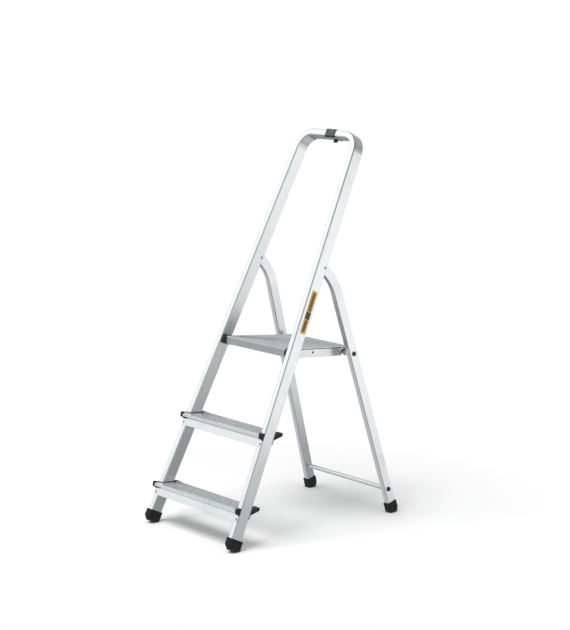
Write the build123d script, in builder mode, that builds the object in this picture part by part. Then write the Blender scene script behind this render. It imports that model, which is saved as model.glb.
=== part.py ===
from build123d import *
import os
from math import asin, atan, atan2, cos, hypot, radians, sin, tan

# Folding aluminium platform step ladder, in millimetres.
# X runs across the ladder, Y from the climbing side to the rear, Z up from the floor.
# "Along" is the distance up a stile from the floor, "deep" the distance behind its front face.

# Front frame: one rectangular tube bent into two stiles and a hand hoop
FRONT_LEAN = 25.8
FLOOR_SPREAD = 449.0
STILE_TAPER = 0.0567
STILE_LENGTH = 1411.0
HOOP_RADIUS = 70.0
TUBE_WIDTH = 22.0
TUBE_DEPTH = 42.0
TUBE_WALL = 1.5
TUBE_CORNER = 4.0

# Rubber feet on both frames
FOOT_WALL = 3.0
FOOT_FLOOR = 18.0
FOOT_HEIGHT = 37.5
FOOT_CORNER = 2.5
FRONT_TOE = (16.0, 16.0)
REAR_TOE = (16.0, 9.0)
FRONT_FOOT_CUT = 6.0
REAR_FOOT_CUT = 5.0

# Treads: ribbed plate with a hollow nosing, an apron on the stile fronts and a flange behind them
LOWER_TREAD_HEIGHT = 131.5
TREAD_RISE = 220.0
TREAD_TILT = 4.5
TREAD_PLATE = 3.5
NOSING_REACH = 21.0
NOSING_HEIGHT = 12.5
NOSING_SLOPE = 1.5
NOSING_STRIP = 15.0
NOSING_ROUND = 2.2
NOSING_WALL = 1.8
REAR_REACH = 16.0
FLANGE_PLATE = 2.0
REAR_FLANGE_PLATE = 3.5
APRON_LENGTH = 30.0
REAR_FLANGE_LENGTH = 38.0
GROOVE_PITCH = 4.5
GROOVE_WIDTH = 1.8
GROOVE_DEPTH = 1.0
GROOVE_START = 16.0
GROOVE_MARGIN = 7.0

# Plastic end caps of the treads, each with a gusset under the nosing, an ear and a horn behind the stile
CAP_WALL = 2.5
CAP_RIM = 3.4
CAP_RIM_LENGTH = 8.4
CAP_RIM_SLOPE = 5.5
CAP_LEDGE = 1.4
CAP_CORNER = 3.0
CAP_FIT = 0.1
GUSSET_DROP = 23.5
EAR_HEIGHT = 6.5
EAR_START = 2.0
EAR_PEAK = 4.0
EAR_END = 9.5
HORN_LENGTH = 29.0
HORN_ROUND = 1.5
HORN_DROP = 5.0
HORN_RISE = 3.2
HORN_SLOPE = 6.0
HORN_END_HEIGHT = 10.7
HORN_ROOT_HEIGHT = 18.4
APRON_END_GAP = 0.8

# Blind rivets of the treads
RIVET_SHANK = 2.4
RIVET_HEAD = 4.2
RIVET_DOME = 1.8
RIVET_GRIP = 5.0
REAR_RIVET_GRIP = 6.5
RIVET_EYE = 1.2
RIVET_EYE_DEPTH = 1.4
RIVET_FIT = 0.05
FRONT_RIVET_DROP = 20.5
FRONT_RIVET_INSET = 7.0
REAR_RIVET_DROP = 6.0

# Saddle clip on the hoop, with a lip under its front and a narrow tongue under its back
CLIP_ACROSS = 10.0
CLIP_WIDTH = 44.0
CLIP_WALL = 2.0
CLIP_LIP = 6.0
CLIP_LIP_HEIGHT = 4.0
TONGUE_WIDTH = 16.0
TONGUE_HEIGHT = 7.0
TONGUE_LIP = 2.0

# Rear legs: bent rectangular tubes that turn on a rivet inside the stiles
LEG_PIVOT_ALONG = 955.5
LEG_PIVOT_DEEP = 35.0
REAR_LEAN = 16.0
LEG_SPLAY = 3.2
LEG_OFFSET = 27.7
LEG_BEND = 23.5
LEG_BEND_RADIUS = 150.0
LEG_WIDTH = 20.0
LEG_DEPTH = 32.0
LEG_WALL = 1.5
LEG_CORNER = 2.5
LEG_TOP_WIDTH = 16.4
LEG_NECK_LENGTH = 45.0
LEG_NECK_RADIUS = 600.0
DENT_RING = 72.0
DENT_ROUND = 8.0
DENT_DEPTH = 0.9
DENT_TURN = 12.0
LEG_SLOT_BELOW = 64.0
LEG_SLOT_ABOVE = 22.0
LEG_RIVET_SHANK = 3.0
LEG_RIVET_HEAD = 5.0
LEG_RIVET_DOME = 2.0
TURNING_FIT = 0.06

# Round bars between the rear legs, each drawn up by a rod
BAR_DROP = 310.0
PLATFORM_BAR_RADIUS = 8.0
LOWER_BAR_HEIGHT = 83.0
LOWER_BAR_RADIUS = 7.3
ROD_RADIUS = 3.0
ROD_FIT = 0.3
WASHER_RADIUS = 8.5
WASHER_THICKNESS = 1.2
BAR_CAP_RADIUS = 4.8
BAR_CAP_HEIGHT = 3.0
BAR_CAP_TOP = 1.2
BAR_CAP_ROUND = 0.8

# Platform: ribbed deck on two side panels, hooked over the platform bar
PLATFORM_PIVOT_ALONG = 660.0
PLATFORM_PIVOT_DEEP = 20.0
PLATFORM_HALF_WIDTH = 151.0
PLATFORM_TAPER = 0.045
DECK_LIFT = 7.0
DECK_PLATE = 2.0
DECK_REAR_REACH = 19.0
RIB_PITCH = 13.7
RIB_HEIGHT = 4.2
RIB_FOOT = 8.6
RIB_TOP = 5.6
RIB_WALL = 1.5
RIB_END = 4.0
FRONT_PANEL_DROP = 13.0
FRONT_PANEL_REACH = 9.0
REAR_LIP_DROP = 4.0
SIDE_PLATE = 2.5
SIDE_DROP = 18.0
SIDE_LENGTH = 197.0
SIDE_FLANGE = 14.0
SIDE_FLANGE_START = 12.0
LUG_RADIUS = 10.5
HOOK_DROP = 6.3
HOOK_PLATE = 5.0
HOOK_START = 95.0
HOOK_HOLE_AT = 225.0
HOOK_HOLE_RADIUS = 3.0
LINER_WALL = 2.6
LINER_PROUD = 2.0
BAR_GAP = 0.4
MOUTH_ANGLE = 68.0
SIDE_RIVET_AT = 112.0
SIDE_RIVET_DROP = 3.0
DECK_RIVET_GAP_NUMBERS = (3, 13)
DECK_RIVET_INSET = 12.0

# Bushes and pins the platform turns on
BUSH_RADIUS = 16.0
BUSH_GAP = 0.4
PIN_SHANK = 4.0
PIN_HEAD = 5.5
PIN_HEAD_HEIGHT = 2.0
PIN_GRIP = 4.0

# Longer than any piece, for cuts that run right through
FAR = 2000.0

os.makedirs("parts", exist_ok=True)

# Angles and fixed points of the side view
lean = radians(FRONT_LEAN)
rear_lean = radians(REAR_LEAN)
splay = radians(LEG_SPLAY)
tread_skew = radians(FRONT_LEAN - TREAD_TILT)
tube_across = TUBE_WIDTH / cos(atan(STILE_TAPER))
front_foot_start = ((TUBE_DEPTH + FOOT_WALL) * sin(lean) - FRONT_FOOT_CUT) / cos(lean)

pivot_height = LEG_PIVOT_ALONG * cos(lean) - LEG_PIVOT_DEEP * sin(lean)
pivot_behind = LEG_PIVOT_ALONG * sin(lean) + LEG_PIVOT_DEEP * cos(lean)
leg_front_deep = LEG_OFFSET - LEG_DEPTH / 2
leg_rear_deep = LEG_OFFSET + LEG_DEPTH / 2


def leg_along_at(height, deep):
    """Distance up the rear leg from its pivot, negative below it, of a point at this height."""
    return ((height - pivot_height) / cos(splay) - deep * sin(rear_lean)) / cos(rear_lean)


rear_foot_start = leg_along_at(-REAR_FOOT_CUT, leg_front_deep - FOOT_WALL)

# The floor box is centred on the origin, so the climbing side moves forward by half its depth
foremost = (front_foot_start + FRONT_TOE[0]) * sin(lean) - FOOT_WALL * cos(lean)
rearmost = (
    pivot_behind
    - (rear_foot_start + REAR_TOE[0]) * sin(rear_lean)
    + (leg_rear_deep + FOOT_WALL) * cos(rear_lean)
)
FRONT_Y = -(foremost + rearmost) / 2


def half_width(along):
    """Half the outer width of the front frame at a distance along the stiles."""
    return FLOOR_SPREAD / 2 - STILE_TAPER * along


def stile_point(along, deep):
    """Y and Z of a point of the side view given in stile distances."""
    y = FRONT_Y + along * sin(lean) + deep * cos(lean)
    z = along * cos(lean) - deep * sin(lean)
    return (y, z)


def stile_strip(side, low, high, outer_inset, inner_inset):
    """Corners of a strip of one stile, in the plane of the front frame, inset from its outer face."""
    return [
        (side * (half_width(low) - outer_inset), low),
        (side * (half_width(high) - outer_inset), high),
        (side * (half_width(high) - inner_inset), high),
        (side * (half_width(low) - inner_inset), low),
    ]


hoop_plane = Plane(origin=(0, FRONT_Y, 0), x_dir=(1, 0, 0), z_dir=(0, -cos(lean), sin(lean)))


def deep_plane(deep):
    """Plane of the front frame at a depth behind its front face."""
    return hoop_plane.offset(-deep)


leg_pivot_y, leg_pivot_z = stile_point(LEG_PIVOT_ALONG, LEG_PIVOT_DEEP)
platform_pivot_y, platform_pivot_z = stile_point(PLATFORM_PIVOT_ALONG, PLATFORM_PIVOT_DEEP)


def across_bore(y, z, radius, start, end):
    """Cut a round hole along X between two places, in the part being built."""
    with BuildSketch(Plane.YZ.offset(start)) as hole:
        with Locations((y, z)):
            Circle(radius)
    extrude(hole.sketch, amount=end - start, mode=Mode.SUBTRACT)


def rivet_dome(seat, radius, height):
    """Rounded rivet head on a seat plane whose normal points out of the head."""
    ball = (radius**2 + height**2) / (2 * height)
    half_turn = asin(radius / ball) / 2
    shoulder = (ball * sin(half_turn), height - ball + ball * cos(half_turn))
    with BuildSketch(Plane(origin=seat.origin, x_dir=seat.x_dir, z_dir=-seat.y_dir)) as profile:
        with BuildLine():
            Polyline((0, height), (0, 0), (radius, 0))
            ThreePointArc((radius, 0), shoulder, (0, height))
        make_face()
    revolve(profile.sketch, axis=Axis(seat.origin, seat.z_dir))


def rivet(seat, shank, grip, radius, height):
    """Round-headed rivet with a small eye in its head and its shank behind the seat plane."""
    rivet_dome(seat, radius, height)
    with BuildSketch(seat) as section:
        Circle(shank)
    extrude(section.sketch, amount=-grip)
    with BuildSketch(seat.offset(height)) as eye:
        Circle(RIVET_EYE)
    extrude(eye.sketch, amount=-RIVET_EYE_DEPTH, mode=Mode.SUBTRACT)


def save(piece, name):
    """Label a finished piece and write it to its own file."""
    piece.part.label = name
    export_step(piece.part, f"parts/{name}.step")


def save_mirrored(piece, name):
    """Write the left-hand twin of a right-hand piece."""
    with BuildPart() as twin:
        mirror(piece.part, about=Plane.YZ)
    save(twin, name)


def hoop_outline(inset):
    """Outer outline of the bent tube, inset all round, with its top corners rounded."""
    low = front_foot_start + FOOT_FLOOR
    top = STILE_LENGTH - inset
    inset_across = inset * tube_across / TUBE_WIDTH
    corners = [
        (-(half_width(low) - inset_across), low),
        (-(half_width(top) - inset_across), top),
        (half_width(top) - inset_across, top),
        (half_width(low) - inset_across, low),
    ]
    return corners, HOOP_RADIUS - inset


def hoop_band(outer_inset, inner_inset, plane):
    """Flat U between two outlines of the bent tube."""
    with BuildSketch(plane) as band:
        corners, radius = hoop_outline(outer_inset)
        Polygon(*corners, align=None)
        fillet(band.vertices().group_by(Axis.Y)[-1], radius)
        with BuildSketch(mode=Mode.PRIVATE) as hollow:
            corners, radius = hoop_outline(inner_inset)
            Polygon(*corners, align=None)
            fillet(hollow.vertices().group_by(Axis.Y)[-1], radius)
        add(hollow.sketch, mode=Mode.SUBTRACT)
    return band.sketch


tread_heights = {"lower": LOWER_TREAD_HEIGHT, "upper": LOWER_TREAD_HEIGHT + TREAD_RISE}
tread_along = {name: height / cos(lean) for name, height in tread_heights.items()}


def tread_plane(name):
    """Side-view plane of a tread: x backwards along its top, y square to it, from the stile fronts."""
    y, z = stile_point(tread_along[name], 0)
    tilt = radians(TREAD_TILT)
    return Plane(origin=(0, y, z), x_dir=(0, cos(tilt), -sin(tilt)), z_dir=(1, 0, 0))


def on_tread(along, deep):
    """Stile distances from a tread's front edge, turned into that tread's own side view."""
    back = along * sin(tread_skew) + deep * cos(tread_skew)
    up = along * cos(tread_skew) - deep * sin(tread_skew)
    return (back, up)


# How far up the stiles the nosing's underside meets their front faces, from the tread's top
nosing_along = -NOSING_HEIGHT / cos(tread_skew)
stile_back = TUBE_DEPTH / cos(tread_skew)
plate_rear = stile_back + REAR_REACH
rear_flange_top = (TUBE_DEPTH * sin(tread_skew) - TREAD_PLATE / 2) / cos(tread_skew)


def front_rivet_seats(name):
    """Seats of the two rivets through a tread's apron and the stile fronts."""
    along = tread_along[name] + nosing_along - FRONT_RIVET_DROP
    x = half_width(along) - FRONT_RIVET_INSET
    base = deep_plane(-FLANGE_PLATE)
    return [
        Plane(origin=base.from_local_coords((side * x, along, 0)), x_dir=base.x_dir, z_dir=base.z_dir)
        for side in (-1, 1)
    ]


def rear_rivet_seats(name):
    """Seats of the two rivets through a tread's rear flange and the stile backs."""
    along = tread_along[name] + rear_flange_top - REAR_FLANGE_LENGTH + REAR_RIVET_DROP
    x = half_width(along) - tube_across / 2
    base = deep_plane(TUBE_DEPTH + REAR_FLANGE_PLATE)
    return [
        Plane(origin=base.from_local_coords((side * x, along, 0)), x_dir=base.x_dir, z_dir=-base.z_dir)
        for side in (-1, 1)
    ]


front_seats = front_rivet_seats("lower") + front_rivet_seats("upper")
rear_seats = rear_rivet_seats("lower") + rear_rivet_seats("upper")


def rivet_holes(seats, grip):
    """Drill the rivet holes a little past their grip under the seats, in the part being built."""
    for seat in seats:
        with BuildSketch(seat) as hole:
            Circle(RIVET_SHANK + RIVET_FIT)
        extrude(hole.sketch, amount=-(grip + RIVET_SHANK), mode=Mode.SUBTRACT)


def bent_tube(inset, corner):
    """Solid of the bent tube, inset all round, with its long edges rounded."""
    with BuildPart() as tube:
        extrude(hoop_band(inset, TUBE_WIDTH - inset, deep_plane(inset)), amount=-(TUBE_DEPTH - 2 * inset))
        flat_faces = tube.faces().filter_by(lambda f: abs(f.normal_at().dot(hoop_plane.z_dir)) > 0.99)
        end_level = min(hoop_plane.to_local_coords(v).Y for v in tube.vertices())
        long_edges = flat_faces.edges().filter_by(
            lambda e: hoop_plane.to_local_coords(e.center()).Y > end_level + 1
        )
        fillet(long_edges, corner)
    return tube


# Front hoop
with BuildPart() as front_hoop:
    add(bent_tube(0, TUBE_CORNER).part)
    add(bent_tube(TUBE_WALL, TUBE_CORNER - TUBE_WALL).part, mode=Mode.SUBTRACT)
    for side in (-1, 1):
        with BuildSketch(deep_plane(TUBE_DEPTH / 2)):
            low = LEG_PIVOT_ALONG - LEG_SLOT_BELOW
            high = LEG_PIVOT_ALONG + LEG_SLOT_ABOVE
            Polygon(*stile_strip(side, low, high, TUBE_WALL, tube_across - TUBE_WALL), align=None)
        extrude(amount=-TUBE_DEPTH, mode=Mode.SUBTRACT)
    across_bore(leg_pivot_y, leg_pivot_z, LEG_RIVET_SHANK + RIVET_FIT, -FAR, FAR)
    pin_reach = half_width(PLATFORM_PIVOT_ALONG) - tube_across / 2
    across_bore(platform_pivot_y, platform_pivot_z, PIN_SHANK + RIVET_FIT, -pin_reach, pin_reach)
    rivet_holes(front_seats, RIVET_GRIP)
    rivet_holes(rear_seats, REAR_RIVET_GRIP)
save(front_hoop, "front_hoop")

# Saddle clip near the middle of the hoop, open underneath between its lip and its tongue
clip_start = CLIP_ACROSS - CLIP_WIDTH / 2
clip_back = TUBE_DEPTH + CLIP_WALL
bar_underside = STILE_LENGTH - TUBE_WIDTH
with BuildPart() as hoop_clip:
    with BuildSketch(Plane.YZ.offset(clip_start)):
        lip_edge = bar_underside - CLIP_LIP_HEIGHT
        top_edge = STILE_LENGTH + CLIP_WALL
        saddle = [(lip_edge, -CLIP_WALL), (top_edge, -CLIP_WALL), (top_edge, clip_back)]
        saddle += [(bar_underside, clip_back), (bar_underside, CLIP_LIP), (lip_edge, CLIP_LIP)]
        Polygon(*[stile_point(a, d) for a, d in saddle], align=None)
    extrude(amount=CLIP_WIDTH)
    outer_edges = hoop_clip.edges().filter_by(Axis.X).filter_by(
        lambda e: abs(hoop_plane.to_local_coords(e.center()).Y - bar_underside) > 1
    )
    fillet(outer_edges, CLIP_WALL * 0.9)
    with BuildSketch(Plane.YZ.offset(-TONGUE_WIDTH / 2)):
        tongue_edge = bar_underside - TONGUE_HEIGHT
        tongue_front = TUBE_DEPTH - TONGUE_LIP
        tongue = [(bar_underside, tongue_front), (bar_underside, clip_back)]
        tongue += [(tongue_edge, clip_back), (tongue_edge, tongue_front)]
        Polygon(*[stile_point(a, d) for a, d in tongue], align=None)
    extrude(amount=TONGUE_WIDTH)
    with BuildSketch(Plane.YZ.offset(clip_start)):
        bore = [(bar_underside, 0), (STILE_LENGTH, 0), (STILE_LENGTH, TUBE_DEPTH)]
        bore += [(bar_underside, TUBE_DEPTH)]
        Polygon(*[stile_point(a, d) for a, d in bore], align=None)
    extrude(amount=CLIP_WIDTH, mode=Mode.SUBTRACT)
save(hoop_clip, "hoop_clip")

# Front foot, cut level where it stands on the floor and bevelled at its raised toe
with BuildPart() as front_foot:
    with BuildSketch(deep_plane(-FOOT_WALL)):
        top = front_foot_start + FOOT_HEIGHT
        Polygon(*stile_strip(1, front_foot_start, top, -FOOT_WALL, tube_across + FOOT_WALL), align=None)
    extrude(amount=-(TUBE_DEPTH + 2 * FOOT_WALL))
    upright_edges = front_foot.edges().filter_by(lambda e: abs((e % 0.5).dot(hoop_plane.y_dir)) > 0.9)
    fillet(upright_edges, FOOT_CORNER)
    with BuildSketch(deep_plane(0)):
        low = front_foot_start + FOOT_FLOOR
        Polygon(*stile_strip(1, low, low + FOOT_HEIGHT, 0, tube_across), align=None)
    extrude(amount=-TUBE_DEPTH, mode=Mode.SUBTRACT)
    with BuildSketch(Plane.YZ):
        up, back = FRONT_TOE
        toe = [(front_foot_start + up, -FOOT_WALL), (front_foot_start, back - FOOT_WALL)]
        toe += [(front_foot_start - up, -back - FOOT_WALL)]
        Polygon(*[stile_point(a, d) for a, d in toe], align=None)
    extrude(amount=FAR, mode=Mode.SUBTRACT)
    split(bisect_by=Plane.XY, keep=Keep.TOP)
save(front_foot, "front_foot_right")
save_mirrored(front_foot, "front_foot_left")


def tread_plates(name):
    """Apron and rear flange of a tread, which lie on the stiles and reach to their outer faces."""
    apron_foot = nosing_along - APRON_LENGTH
    flange_foot = rear_flange_top - REAR_FLANGE_LENGTH
    back = TUBE_DEPTH + REAR_FLANGE_PLATE
    apron = [(nosing_along, -FLANGE_PLATE), (nosing_along, 0), (apron_foot, 0), (apron_foot, -FLANGE_PLATE)]
    flange = [(rear_flange_top, TUBE_DEPTH), (rear_flange_top, back), (flange_foot, back)]
    flange += [(flange_foot, TUBE_DEPTH)]
    with BuildPart() as plates:
        with BuildSketch(tread_plane(name)):
            Polygon(*[on_tread(along, deep) for along, deep in apron], align=None)
            Polygon(*[on_tread(along, deep) for along, deep in flange], align=None)
        extrude(amount=FLOOR_SPREAD / 2, both=True)
        trim_ends(name, APRON_END_GAP)
    return plates


def trim_ends(name, inset):
    """Cut the ends of the tread being built parallel to the stiles' outer faces."""
    low = tread_along[name] - TREAD_RISE
    high = tread_along[name] + TREAD_RISE
    for side in (-1, 1):
        with BuildSketch(deep_plane(FAR / 2)) as beyond:
            Polygon(*stile_strip(side, low, high, -FLOOR_SPREAD, inset), align=None)
        extrude(beyond.sketch, amount=FAR, mode=Mode.SUBTRACT)


def tread(name):
    """Ribbed tread with its nosing, apron and rear flange, notched round the stiles."""
    low = tread_along[name] - TREAD_RISE
    high = tread_along[name] + TREAD_RISE
    front = -NOSING_REACH
    foot_back = on_tread(nosing_along, 0)
    notch = tube_across + CAP_WALL + CAP_FIT
    grooved = plate_rear + NOSING_REACH - GROOVE_START - GROOVE_MARGIN
    groove_count = int(grooved / GROOVE_PITCH) + 1
    first_groove = plate_rear - GROOVE_MARGIN - (groove_count - 1) * GROOVE_PITCH
    plates = tread_plates(name)
    with BuildPart() as piece:
        with BuildSketch(tread_plane(name)):
            with BuildSketch(mode=Mode.PRIVATE) as nose:
                Polygon(
                    (front, -NOSING_SLOPE),
                    (front + NOSING_STRIP, 0),
                    (0, 0),
                    foot_back,
                    (front, -NOSING_HEIGHT),
                    align=None,
                )
                fillet(nose.vertices().group_by(Axis.X)[0], NOSING_ROUND)
            add(nose.sketch)
            Polygon((0, 0), (plate_rear, 0), (plate_rear, -TREAD_PLATE), (0, -TREAD_PLATE), align=None)
            Polygon((0, 0), (0, -TREAD_PLATE), on_tread(-TREAD_PLATE / cos(tread_skew), 0), align=None)
            offset(nose.sketch, amount=-NOSING_WALL, mode=Mode.SUBTRACT)
            for number in range(groove_count):
                with Locations((first_groove + number * GROOVE_PITCH, 0)):
                    Rectangle(GROOVE_WIDTH, 2 * GROOVE_DEPTH, mode=Mode.SUBTRACT)
        extrude(amount=FLOOR_SPREAD / 2, both=True)
        for side in (-1, 1):
            with BuildSketch(deep_plane(-CAP_WALL - CAP_FIT)):
                Polygon(*stile_strip(side, low, high, -FLOOR_SPREAD, notch), align=None)
            extrude(amount=-FAR, mode=Mode.SUBTRACT)
        trim_ends(name, CAP_WALL + CAP_FIT)
        add(plates.part)
        rivet_holes(front_rivet_seats(name), RIVET_GRIP)
        rivet_holes(rear_rivet_seats(name), REAR_RIVET_GRIP)
    return piece


def cap_strip(name, corners, outer_inset, inner_inset):
    """Part of a right-hand cap: a side-view outline kept between two insets from the stile's outer face."""
    low = tread_along[name] - TREAD_RISE
    high = tread_along[name] + TREAD_RISE
    with BuildPart() as strip:
        with BuildSketch(tread_plane(name)):
            Polygon(*corners, align=None)
        extrude(amount=FLOOR_SPREAD / 2)
        with BuildSketch(deep_plane(FAR / 2)):
            Polygon(*stile_strip(1, low, high, outer_inset, inner_inset), align=None)
        extrude(amount=FAR, mode=Mode.INTERSECT)
    return strip


def tread_cap(name, tread_piece):
    """Right-hand end cap: a plate on the nosing's end, a wall round the stile and a rear horn."""
    low = tread_along[name] - TREAD_RISE
    high = tread_along[name] + TREAD_RISE
    front = -NOSING_REACH - CAP_RIM
    foot = -NOSING_HEIGHT - CAP_LEDGE
    rim_end = front + CAP_RIM_LENGTH
    horn_end = stile_back + HORN_LENGTH
    horn_tip = HORN_RISE - HORN_DROP
    root_along = (TUBE_DEPTH * sin(tread_skew) - HORN_DROP - HORN_ROOT_HEIGHT) / cos(tread_skew)
    strip_along = (TUBE_DEPTH * sin(tread_skew) + foot) / cos(tread_skew)
    gusset = [(-NOSING_REACH, -NOSING_HEIGHT), on_tread(nosing_along, 0), on_tread(-GUSSET_DROP, 0)]
    ear = [(stile_back - EAR_START, CAP_LEDGE), (stile_back + EAR_PEAK, EAR_HEIGHT)]
    ear += [(stile_back + EAR_END, -HORN_DROP), (stile_back - EAR_START, -HORN_DROP)]
    gusset_plate = cap_strip(name, gusset, 0, CAP_WALL)
    ear_plate = cap_strip(name, ear, tube_across, tube_across + CAP_WALL)
    with BuildPart() as piece:
        with BuildSketch(tread_plane(name)) as outline:
            Polygon(
                (front, CAP_RIM),
                (rim_end, CAP_RIM),
                (rim_end + CAP_RIM_SLOPE, CAP_LEDGE),
                (stile_back, CAP_LEDGE),
                (stile_back + HORN_SLOPE, -HORN_DROP),
                (horn_end, horn_tip),
                (horn_end, horn_tip - HORN_END_HEIGHT),
                on_tread(root_along, TUBE_DEPTH),
                on_tread(strip_along, TUBE_DEPTH),
                (front, foot),
                align=None,
            )
            fillet(outline.vertices().group_by(Axis.X)[0], CAP_CORNER)
            fillet(outline.vertices().group_by(Axis.X)[-1], HORN_ROUND)
        extrude(amount=FLOOR_SPREAD / 2)
        with BuildSketch(deep_plane(FAR / 2)):
            Polygon(*stile_strip(1, low, high, 0, tube_across + CAP_WALL), align=None)
        extrude(amount=FAR, mode=Mode.INTERSECT)
        with BuildSketch(deep_plane(0)):
            Polygon(*stile_strip(1, low, high, -FLOOR_SPREAD, tube_across), align=None)
        extrude(amount=-TUBE_DEPTH, mode=Mode.SUBTRACT)
        with BuildSketch(deep_plane(-CAP_WALL)):
            Polygon(*stile_strip(1, low, high, CAP_WALL, FLOOR_SPREAD / 2), align=None)
        extrude(amount=FAR, mode=Mode.SUBTRACT)
        add(gusset_plate.part)
        add(ear_plate.part)
        add(tread_piece.part, mode=Mode.SUBTRACT)
    return piece


# Treads and their end caps
for name in tread_heights:
    tread_piece = tread(name)
    save(tread_piece, f"{name}_tread")
    cap_piece = tread_cap(name, tread_piece)
    save(cap_piece, f"{name}_tread_cap_right")
    save_mirrored(cap_piece, f"{name}_tread_cap_left")

# Rivets through the aprons and the rear flanges
with BuildPart() as tread_front_rivets:
    for seat in front_seats:
        rivet(seat, RIVET_SHANK, RIVET_GRIP, RIVET_HEAD, RIVET_DOME)
save(tread_front_rivets, "tread_front_rivets")

with BuildPart() as tread_rear_rivets:
    for seat in rear_seats:
        rivet(seat, RIVET_SHANK, REAR_RIVET_GRIP, RIVET_HEAD, RIVET_DOME)
save(tread_rear_rivets, "tread_rear_rivets")

# Rear leg planes: q runs backwards across the leg, s up along it, both from the pivot
leg_axis_x = half_width(LEG_PIVOT_ALONG) - tube_across / 2
leg_across = Vector(cos(splay), 0, sin(splay))
leg_back = Vector(-sin(rear_lean) * sin(splay), cos(rear_lean), sin(rear_lean) * cos(splay))
leg_up = leg_across.cross(leg_back)
leg_origin = Vector(leg_axis_x, leg_pivot_y, leg_pivot_z)
leg_side = Plane(origin=leg_origin, x_dir=leg_back, z_dir=leg_across)
leg_front = Plane(origin=leg_origin, x_dir=leg_across, z_dir=-leg_back)

leg_end = rear_foot_start + FOOT_FLOOR
bend_along = -LEG_OFFSET / tan(radians(LEG_BEND))
bend_end = bend_along - LEG_BEND_RADIUS * tan(radians(LEG_BEND) / 2)

# The bend leaves a shallow dent in the leg's front face, where a ring would press into it
dent_turn = radians(DENT_TURN)
dent_reach = LEG_BEND_RADIUS - LEG_DEPTH / 2 + DENT_DEPTH - DENT_RING - DENT_ROUND
dent_centre = leg_side.from_local_coords(
    (
        LEG_OFFSET - LEG_BEND_RADIUS + dent_reach * cos(dent_turn),
        bend_end + dent_reach * sin(dent_turn),
        0,
    )
)


def leg_blank(inset, end):
    """Solid of the bent leg, inset all round, from its lower end to its rounded top."""
    half = LEG_WIDTH / 2 - inset
    half_top = LEG_TOP_WIDTH / 2 - inset
    neck_start = bend_along - LEG_NECK_LENGTH
    with BuildPart() as blank:
        with BuildSketch(leg_side):
            with BuildLine():
                FilletPolyline((LEG_OFFSET, end), (LEG_OFFSET, bend_along), (0, 0), radius=LEG_BEND_RADIUS)
            trace(line_width=LEG_DEPTH - 2 * inset)
            Circle(LEG_DEPTH / 2 - inset)
        extrude(amount=LEG_WIDTH, both=True)
        with BuildSketch(leg_front):
            with BuildLine():
                for side in (-1, 1):
                    FilletPolyline(
                        (side * half, end),
                        (side * half, neck_start),
                        (side * half_top, bend_along),
                        (side * half_top, LEG_DEPTH),
                        radius=LEG_NECK_RADIUS,
                    )
                Line((-half, end), (half, end))
                Line((-half_top, LEG_DEPTH), (half_top, LEG_DEPTH))
            make_face()
        extrude(amount=LEG_DEPTH + LEG_OFFSET, both=True, mode=Mode.INTERSECT)
    return blank


bar_places = {
    "platform": leg_side.from_local_coords((LEG_OFFSET, -BAR_DROP, 0)),
    "lower": leg_side.from_local_coords((LEG_OFFSET, leg_along_at(LOWER_BAR_HEIGHT, LEG_OFFSET), 0)),
}

# Rear leg
with BuildPart() as rear_leg:
    add(leg_blank(0, leg_end).part)
    cheeks = rear_leg.faces().filter_by(lambda f: abs(f.normal_at().dot(leg_across)) > 0.9)
    rim = ShapeList(
        edge
        for edge in rear_leg.edges()
        if sum(any(edge.is_same(other) for other in cheek.edges()) for cheek in cheeks) == 1
        and leg_side.to_local_coords(edge.center()).Y > leg_end + LEG_CORNER
    )
    fillet(rim, LEG_CORNER)
    add(leg_blank(LEG_WALL, leg_end).part, mode=Mode.SUBTRACT)
    with Locations(Plane(origin=dent_centre, x_dir=leg_back, z_dir=leg_across).location):
        Torus(DENT_RING, DENT_ROUND, mode=Mode.SUBTRACT)
    across_bore(leg_pivot_y, leg_pivot_z, LEG_RIVET_SHANK + TURNING_FIT, 0, FAR)
    for place in bar_places.values():
        across_bore(place.Y, place.Z, ROD_RADIUS + ROD_FIT, 0, FAR)
save(rear_leg, "rear_leg_right")
save_mirrored(rear_leg, "rear_leg_left")

# Rear foot, cut level where it stands on the floor and bevelled at its raised toe
with BuildPart() as rear_foot:
    with BuildSketch(leg_side):
        with Locations((LEG_OFFSET, rear_foot_start + FOOT_HEIGHT / 2)):
            Rectangle(LEG_DEPTH + 2 * FOOT_WALL, FOOT_HEIGHT)
    extrude(amount=LEG_WIDTH / 2 + FOOT_WALL, both=True)
    upright_edges = rear_foot.edges().filter_by(lambda e: abs((e % 0.5).dot(leg_up)) > 0.9)
    fillet(upright_edges, FOOT_CORNER)
    with BuildSketch(leg_side):
        with Locations((LEG_OFFSET, leg_end + FOOT_HEIGHT / 2)):
            Rectangle(LEG_DEPTH, FOOT_HEIGHT)
    extrude(amount=LEG_WIDTH / 2, both=True, mode=Mode.SUBTRACT)
    with BuildSketch(leg_side):
        up, back = REAR_TOE
        heel = leg_rear_deep + FOOT_WALL
        Polygon(
            (heel, rear_foot_start + up),
            (heel - back, rear_foot_start),
            (heel + back, rear_foot_start - up),
            align=None,
        )
    extrude(amount=LEG_WIDTH, both=True, mode=Mode.SUBTRACT)
    split(bisect_by=Plane.XY, keep=Keep.TOP)
save(rear_foot, "rear_foot_right")
save_mirrored(rear_foot, "rear_foot_left")


def stile_face(along, deep, inset):
    """Plane on a right-hand stile face at this inset from the outer one, facing outwards."""
    at = deep_plane(deep).from_local_coords((half_width(along) - inset, along, 0))
    outward = hoop_plane.x_dir + hoop_plane.y_dir * STILE_TAPER
    return Plane(origin=at, x_dir=hoop_plane.z_dir, z_dir=outward)


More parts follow.
